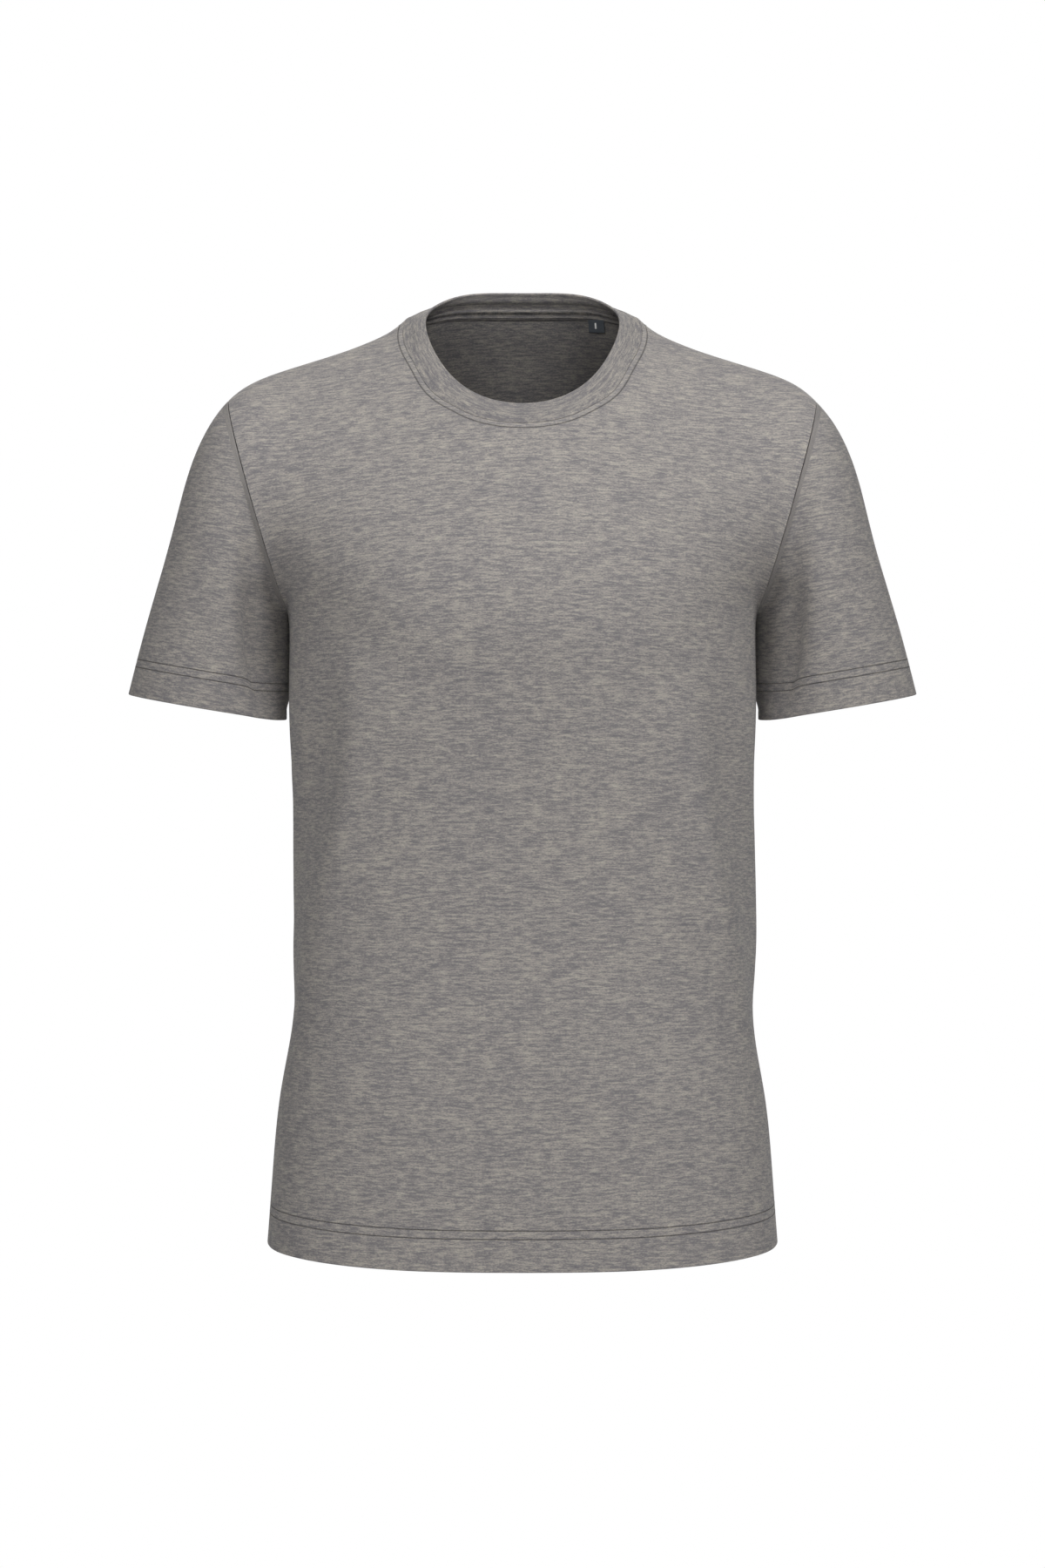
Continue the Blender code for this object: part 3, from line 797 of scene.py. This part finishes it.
def label_place():
    """The place and turn of the CAD's label, and its width and height."""
    plate = bmesh.new()
    plate.from_mesh(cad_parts["size_label"].data)
    bmesh.ops.remove_doubles(plate, verts=plate.verts, dist=SAME_POINT)
    middle = sum((vert.co for vert in plate.verts), Vector()) / len(plate.verts)
    runs = sorted((edge.verts[1].co - edge.verts[0].co for edge in plate.edges), key=lambda run: run.length)
    plate.free()

    def square_to(run):
        return [other for other in runs if abs(other.normalized().dot(run.normalized())) < SQUARE]

    thick = runs[0]
    height = square_to(thick)[0]
    width = next(run for run in square_to(thick) if run in square_to(height))
    across = width.normalized() if width.x > 0 else -width.normalized()
    facing = thick.normalized() if thick.y < 0 else -thick.normalized()
    up = facing.cross(across).normalized()
    turn = Matrix((across, up, facing)).transposed().to_4x4()
    place = Matrix.Translation(middle + Vector((0, 0, LABEL_LIFT))) @ turn
    return place, width.length, height.length


def woven_piece(name, size, spot, wall, cuts, place, height):
    """A thin woven piece in the label's plane, which curls towards its lower edge."""
    bpy.ops.object.select_all(action="DESELECT")
    bpy.ops.mesh.primitive_plane_add(size=1)
    item = bpy.context.active_object
    item.name = name
    bpy.ops.object.mode_set(mode="EDIT")
    bpy.ops.mesh.select_all(action="SELECT")
    bpy.ops.transform.resize(value=(*size, 1), center_override=(0, 0, 0))
    bpy.ops.mesh.subdivide(number_cuts=cuts)
    bpy.ops.transform.translate(value=spot)
    bpy.ops.object.mode_set(mode="OBJECT")
    for vert in item.data.vertices:
        vert.co.z += TAB_CURL * ((height / 2 - vert.co.y) / height) ** 2
    layer = item.data.uv_layers.active
    layer.name = "cut"
    for loop in item.data.loops:
        layer.data[loop.index].uv = item.data.vertices[loop.vertex_index].co.xy
    solid = item.modifiers.new("wall", "SOLIDIFY")
    solid.thickness = wall
    solid.offset = 0
    soft = item.modifiers.new("soft rims", "BEVEL")
    soft.width = wall * 0.3
    soft.segments = 2
    soft.limit_method = "ANGLE"
    apply_all(item)
    item.data.transform(place)
    bpy.ops.object.shade_smooth_by_angle(angle=radians(40))
    return item


def make_label():
    """A woven tab under the tape, with a plain pale bar in place of a mark."""
    place, width, height = label_place()
    tab = woven_piece("size_tab", (width, height), (0, 0, 0), TAB_WALL, 6, place, height)
    bar = woven_piece("size_tab_bar", BAR_SIZE, BAR_PLACE, BAR_WALL, 3, place, height)
    return tab, bar


# ---- finishes ----


class Finish:
    """A material's nodes, added one after another."""

    def __init__(self, name):
        self.material = bpy.data.materials.new(name)
        self.material.use_nodes = True
        self.tree = self.material.node_tree
        self.shader = self.tree.nodes["Principled BSDF"]

    def add(self, kind, source=None):
        made = self.tree.nodes.new("ShaderNode" + kind)
        if source:
            self.link(source, made.inputs[0])
        return made

    def link(self, source, target):
        self.tree.links.new(source, target)

    def put(self, value, socket):
        """Sets a socket to a number or a colour, or links a node's output to it."""
        if isinstance(value, (int, float)):
            socket.default_value = value
        elif isinstance(value, tuple):
            socket.default_value = (*value, 1)
        else:
            self.link(value, socket)

    def maths(self, operation, *values):
        made = self.add("Math")
        made.operation = operation
        for socket, value in zip(made.inputs, values):
            self.put(value, socket)
        return made.outputs[0]

    def noise(self, scale, detail, roughness, start=(0, 0, 0), source=None):
        """Noise on the cut, with its own scale along the courses and up the wales."""
        stretch = self.add("Mapping", source or self.cut)
        stretch.inputs["Scale"].default_value = (*scale, 1)
        stretch.inputs["Location"].default_value = start
        made = self.add("TexNoise", stretch.outputs[0])
        made.inputs["Scale"].default_value = 1
        made.inputs["Detail"].default_value = detail
        made.inputs["Roughness"].default_value = roughness
        return made.outputs["Fac"]

    def use_cut(self, follow=None):
        """Patterns read the piece's cut, or lie along the lines where an attribute keeps its value."""
        made = self.add("UVMap")
        made.uv_map = "cut"
        self.cut = made.outputs[0]
        if follow:
            joined = self.add("CombineXYZ")
            self.link(self.add("SeparateXYZ", self.cut).outputs["X"], joined.inputs["X"])
            self.link(self.value_of(follow), joined.inputs["Y"])
            self.cut = joined.outputs[0]

    def value_of(self, attribute):
        made = self.add("Attribute")
        made.attribute_name = attribute
        return made.outputs["Fac"]

    def ribs(self, axis, pitch):
        """A wave along one axis of the cut, from -1 to 1."""
        split = self.add("SeparateXYZ", self.cut)
        return self.maths("SINE", self.maths("MULTIPLY", split.outputs[axis], 2 * pi / pitch))

    def ramp(self, factor, stops):
        made = self.add("ValToRGB", factor)
        places = made.color_ramp.elements
        while len(places) < len(stops):
            places.new(0.5)
        for element, (place, colour) in zip(places, stops):
            element.position = place
            element.color = (*colour, 1)
        return made.outputs["Color"]

    def blend(self, kind, factor, first, second):
        made = self.add("Mix")
        made.data_type = "RGBA"
        made.blend_type = kind
        sockets = {socket.name: socket for socket in made.inputs if socket.type == "RGBA"}
        self.put(factor, made.inputs["Factor"])
        self.put(first, sockets["A"])
        self.put(second, sockets["B"])
        return next(socket for socket in made.outputs if socket.type == "RGBA")

    def surface(self, colour, roughness, specular):
        self.put(colour, self.shader.inputs["Base Color"])
        self.put(roughness, self.shader.inputs["Roughness"])
        self.put(specular, self.shader.inputs["Specular IOR Level"])

    def bump(self, height, strength, distance):
        made = self.add("Bump")
        made.inputs["Strength"].default_value = strength
        made.inputs["Distance"].default_value = distance
        self.link(height, made.inputs["Height"])
        self.link(made.outputs[0], self.shader.inputs["Normal"])


def groove(finish, attribute, lines, width):
    """A soft dip, from 0 to 1, where the attribute's distance is one of the lines."""
    deepest = 0
    for line in lines:
        apart = finish.maths("ABSOLUTE", finish.maths("SUBTRACT", finish.value_of(attribute), line))
        away = finish.maths("MINIMUM", finish.maths("DIVIDE", apart, width), 1)
        dip = finish.maths("POWER", finish.maths("SUBTRACT", 1, away), 2)
        deepest = finish.maths("MAXIMUM", deepest, dip)
    return deepest


def jersey(name, shade=1.0, hem_lines=(), neck_lines=(), sheen=SHEEN, follow=None):
    finish = Finish(name)
    finish.use_cut(follow)
    mixed, yarns = 0.5, {}
    for yarn, (scale, detail, roughness, start, weight) in HEATHER.items():
        yarns[yarn] = finish.noise(scale, detail, roughness, start)
        part = finish.maths("MULTIPLY", finish.maths("SUBTRACT", yarns[yarn], 0.5), weight)
        mixed = finish.maths("ADD", mixed, part)
    hem_dip = groove(finish, "from_hem", hem_lines, HEM_GROOVE)
    dip = finish.maths("MAXIMUM", hem_dip, groove(finish, "from_neck", neck_lines, NECK_GROOVE))
    # painted shadow: the colour darkens along each stitched groove, in place of the shade in the dip
    dark = finish.maths("MULTIPLY", dip, GROOVE_PAINTED_SHADOW)
    colour = finish.blend("MIX", dark, finish.ramp(mixed, YARNS), GROOVE_SHADOW_PAINT)
    colour = finish.blend("MULTIPLY", 1.0, colour, (shade, shade, shade))
    rough = finish.maths("ADD", finish.maths("MULTIPLY", yarns["patches"], ROUGH_SPREAD), ROUGHNESS)
    finish.surface(colour, rough, SHINE)
    finish.put(sheen, finish.shader.inputs["Sheen Weight"])
    finish.put(SHEEN_ROUGHNESS, finish.shader.inputs["Sheen Roughness"])
    # the knit, with loose fibre over it and slack cloth under it
    courses = finish.maths("MULTIPLY", finish.ribs("Y", COURSE), 0.5)
    knit = finish.maths("ADD", finish.ribs("X", WALE), courses)
    height = finish.maths("MULTIPLY", knit, KNIT_DEPTH)
    height = finish.maths("ADD", height, finish.maths("MULTIPLY", yarns["fibres"], FLUFF_DEPTH))
    slack = finish.noise(SLACK, 3, 0.5, SLACK_PLACE)
    height = finish.maths("ADD", height, finish.maths("MULTIPLY", slack, SLACK_DEPTH))
    height = finish.maths("SUBTRACT", height, finish.maths("MULTIPLY", dip, GROOVE_DEPTH))
    finish.bump(height, strength=0.8, distance=1.0)
    return finish.material


def thread_finish():
    finish = Finish("sewing_thread")
    place = finish.add("TexCoord").outputs["Object"]
    twist = finish.noise((900, 900), 2, 0.5, source=place)
    finish.surface(finish.ramp(twist, THREAD_AND_SHADE_COLOURS), 0.7, 0.3)
    return finish.material


def woven_finish(name, colours):
    """A close satin weave: fine ribs across the tab."""
    finish = Finish(name)
    finish.use_cut()
    crossed = finish.maths("ADD", finish.ribs("Y", WEFT), finish.ribs("X", WARP))
    weave = finish.maths("ADD", finish.maths("MULTIPLY", crossed, 0.2), 0.5)
    uneven = finish.maths("MULTIPLY", finish.noise((900, 500), 2, 0.5), 0.4)
    mixed = finish.maths("ADD", finish.maths("MULTIPLY", weave, 0.6), uneven)
    finish.surface(finish.ramp(mixed, colours), 0.6, 0.5)
    finish.bump(weave, strength=0.5, distance=0.00005)
    return finish.material


# ---- studio ----


def make_floor():
    bpy.ops.object.select_all(action="DESELECT")
    bpy.ops.mesh.primitive_plane_add(size=FLOOR_SIZE, location=(0, 0, FLOOR_Z))
    floor = bpy.context.active_object
    floor.name = "studio_floor"
    bpy.ops.object.transform_apply(location=True, rotation=True, scale=True)
    pale = Finish("pale_floor")
    paint = pale.add("BsdfDiffuse")
    paint.inputs["Color"].default_value = FLOOR_PAINT
    glow = pale.add("Emission")
    glow.inputs["Strength"].default_value = 1.0
    mixed = pale.add("MixShader", pale.add("LightPath").outputs["Is Camera Ray"])
    pale.link(paint.outputs[0], mixed.inputs[1])
    pale.link(glow.outputs[0], mixed.inputs[2])
    pale.link(mixed.outputs[0], pale.tree.nodes["Material Output"].inputs["Surface"])
    floor.data.materials.append(pale.material)


def make_world():
    """White to look at, and a low soft light on the shirt."""
    world = bpy.data.worlds.new("studio")
    bpy.context.scene.world = world
    world.use_nodes = True
    nodes, links = world.node_tree.nodes, world.node_tree.links
    ground = nodes["Background"]
    ground.inputs["Color"].default_value = (1, 1, 1, 1)
    ray = nodes.new("ShaderNodeLightPath")
    level = nodes.new("ShaderNodeMapRange")
    level.inputs["To Min"].default_value = AMBIENT
    level.inputs["To Max"].default_value = 1.0
    links.new(ray.outputs["Is Camera Ray"], level.inputs["Value"])
    links.new(level.outputs[0], ground.inputs["Strength"])


def soft_light(name, place, target, size, power):
    light = bpy.data.lights.new(name, "AREA")
    light.shape = "RECTANGLE"
    light.size, light.size_y = size
    light.energy = power
    item = bpy.data.objects.new(name, light)
    item.location = place
    item.rotation_euler = (Vector(target) - Vector(place)).to_track_quat("-Z", "Y").to_euler()
    bpy.context.scene.collection.objects.link(item)


def make_studio():
    make_floor()
    make_world()
    for light in LIGHTS:
        soft_light(*light)
    view = bpy.data.cameras.new("view")
    view.sensor_width = SENSOR
    view.lens = SENSOR * -CAMERA_AT[1] / VIEW_HEIGHT
    camera = bpy.data.objects.new("view", view)
    camera.location = CAMERA_AT
    camera.rotation_euler = (radians(90), 0, 0)
    bpy.context.scene.collection.objects.link(camera)
    bpy.context.scene.camera = camera
    bpy.context.scene.view_settings.view_transform = "Standard"


# ---- the shirt ----


def shape_shirt():
    """The sewn surface in its folds, with its marks, and the lines of its hems and neck seam."""
    shirt = sewn_shirt()
    press_folds(shirt)
    for name in ("from_hem", "from_neck"):
        shirt.verts.layers.float.new(name)
    shirt.verts.layers.float_vector.new("shirt_normal")
    shirt.edges.layers.float.new("bevel_weight_edge")
    lines = edge_lines(shirt)
    ease_neck(shirt, lines["neck"])
    mark_cloth(shirt, lines)
    return shirt, lines


def dress(cloth, threads, tape, tab, bar):
    """Gives every piece its finish."""
    # the same cloth inside: painted shade on its reverse, and painted light on the band's inner side, for
    # how light falls there
    reverse = jersey("jersey_reverse_painted_shade", REVERSE_PAINTED_SHADE, sheen=INSIDE_SHEEN)
    band_reverse_painted_light = jersey("band_reverse_painted_light", BAND_REVERSE_PAINTED_LIGHT, sheen=INSIDE_SHEEN)
    outside = {
        FRONT: jersey("heather_jersey_body", hem_lines=HEM_LINES, neck_lines=(NECK_LINE,)),
        # the sleeves and the band: the body's jersey with painted shade, darker where less light falls on
        # them
        SLEEVE_RIGHT: jersey("heather_jersey_sleeve_painted_shade", SLEEVE_PAINTED_SHADE, CUFF_LINES, follow="from_hem"),
        BAND: jersey("heather_jersey_band_painted_shade", BAND_PAINTED_SHADE),
    }
    outside[BACK] = outside[FRONT]
    outside[SLEEVE_LEFT] = outside[SLEEVE_RIGHT]
    for panel, item in cloth.items():
        item.data.materials[0] = outside[panel]
        item.data.materials[1] = band_reverse_painted_light if panel == BAND else reverse
    thread = thread_finish()
    for item in threads.values():
        item.data.materials.append(thread)
    # the tape: the same jersey, with painted shade for the inside of the neck
    tape_cloth = jersey("heather_tape", TAPE_PAINTED_SHADE, neck_lines=(TAPE_LINE,), sheen=INSIDE_SHEEN)
    tape.data.materials.append(tape_cloth)
    tab.data.materials.append(woven_finish("charcoal_weave", CHARCOAL))
    bar.data.materials.append(woven_finish("pale_weave", PALE))


def cut_size(item):
    """Width, length and area of a piece's cut, read from its outer faces."""
    layer = item.data.uv_layers["cut"].data
    xs, ys, area = [], [], 0
    for polygon in item.data.polygons:
        if polygon.material_index == 0:
            spots = [layer[loop].uv for loop in polygon.loop_indices]
            xs += [spot.x for spot in spots]
            ys += [spot.y for spot in spots]
            area += abs(flat_area(spots))
    return max(xs) - min(xs), max(ys) - min(ys), area


def build():
    shirt, lines = shape_shirt()
    threads = sew(shirt, lines)
    tape = make_tape(shirt)
    tab, bar = make_label()
    cloth = make_cloth(shirt)
    shirt.free()
    dress(cloth, threads, tape, tab, bar)

    for panel, item in cloth.items():
        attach(item, "root")
        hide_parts(PANELS[panel])
    for item in threads.values():
        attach(item, "root")
    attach(tape, "root")
    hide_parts("neck_tape")
    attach(tab, "root")
    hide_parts("size_label")
    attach(bar, "root")

    for panel, item in cloth.items():
        width, length, area = cut_size(item)
        area = None if panel == BAND else area
    make_studio()


build()
